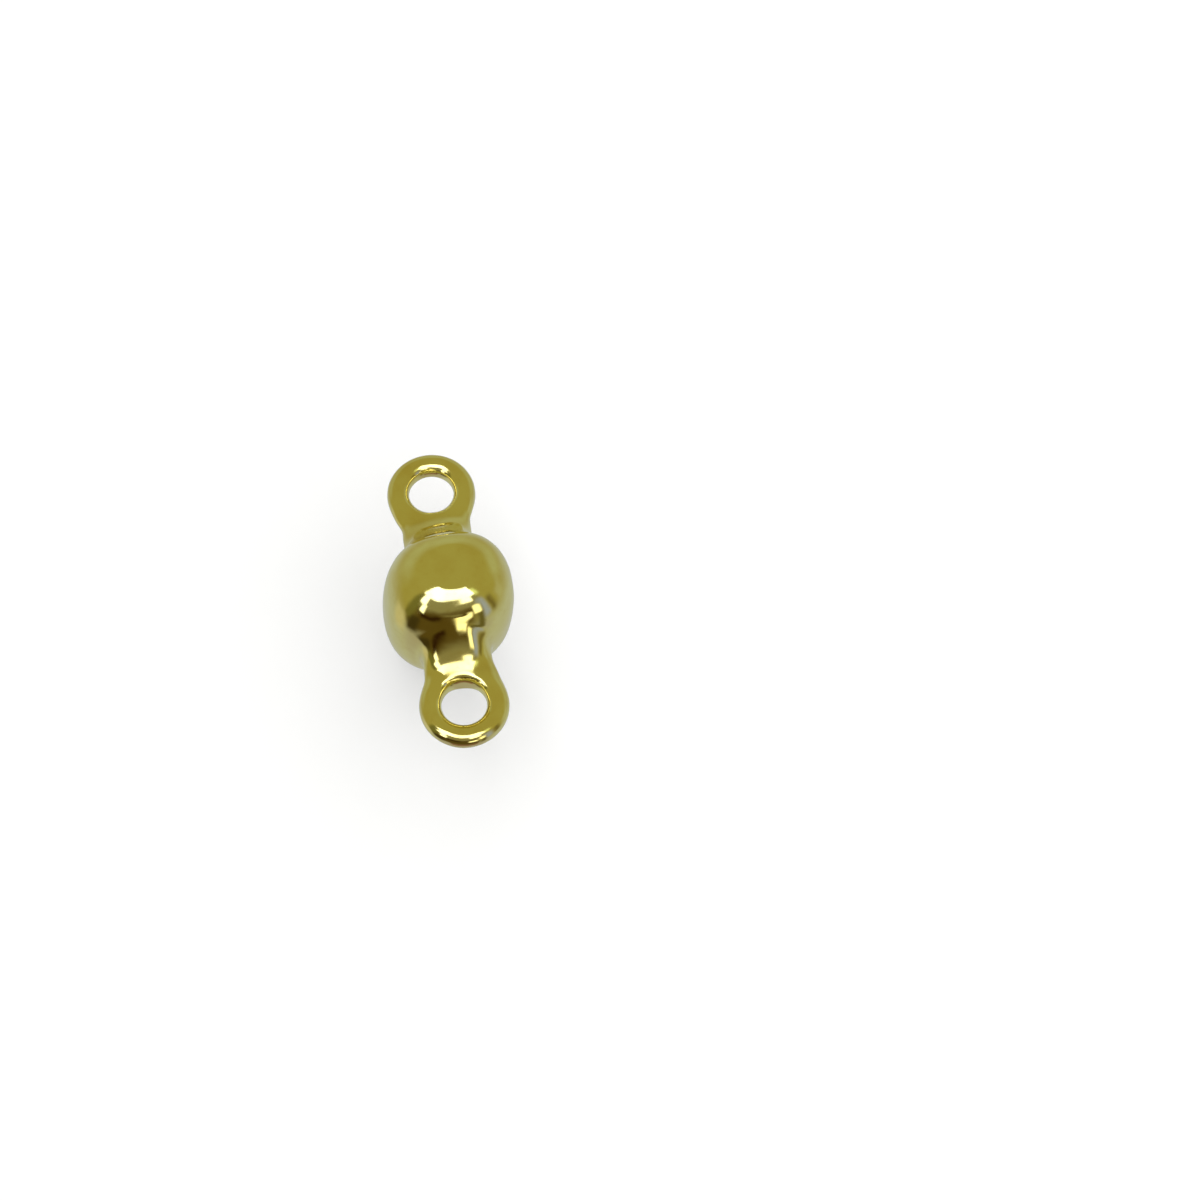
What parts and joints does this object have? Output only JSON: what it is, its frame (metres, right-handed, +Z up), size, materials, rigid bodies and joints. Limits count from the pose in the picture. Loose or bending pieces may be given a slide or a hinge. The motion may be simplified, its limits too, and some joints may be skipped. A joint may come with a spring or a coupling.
{
  "type": "charm connector",
  "caption": "Cast charm connector: a round, slightly egg-shaped bead body between two round loops on short flowing necks, plated in polished gold, for linking a chain or charm on each side.",
  "frame": {"origin": "on the surface that the part stands on, under the middle of its body", "axes": "+X through the two loops, +Z up and along both loop holes"},
  "size_m": [0.01, 0.004, 0.0047],
  "materials": {
    "gold_plate": "polished"
  },
  "bodies": {
    "root": {"connector": "gold_plate"}
  },
  "joints": []
}
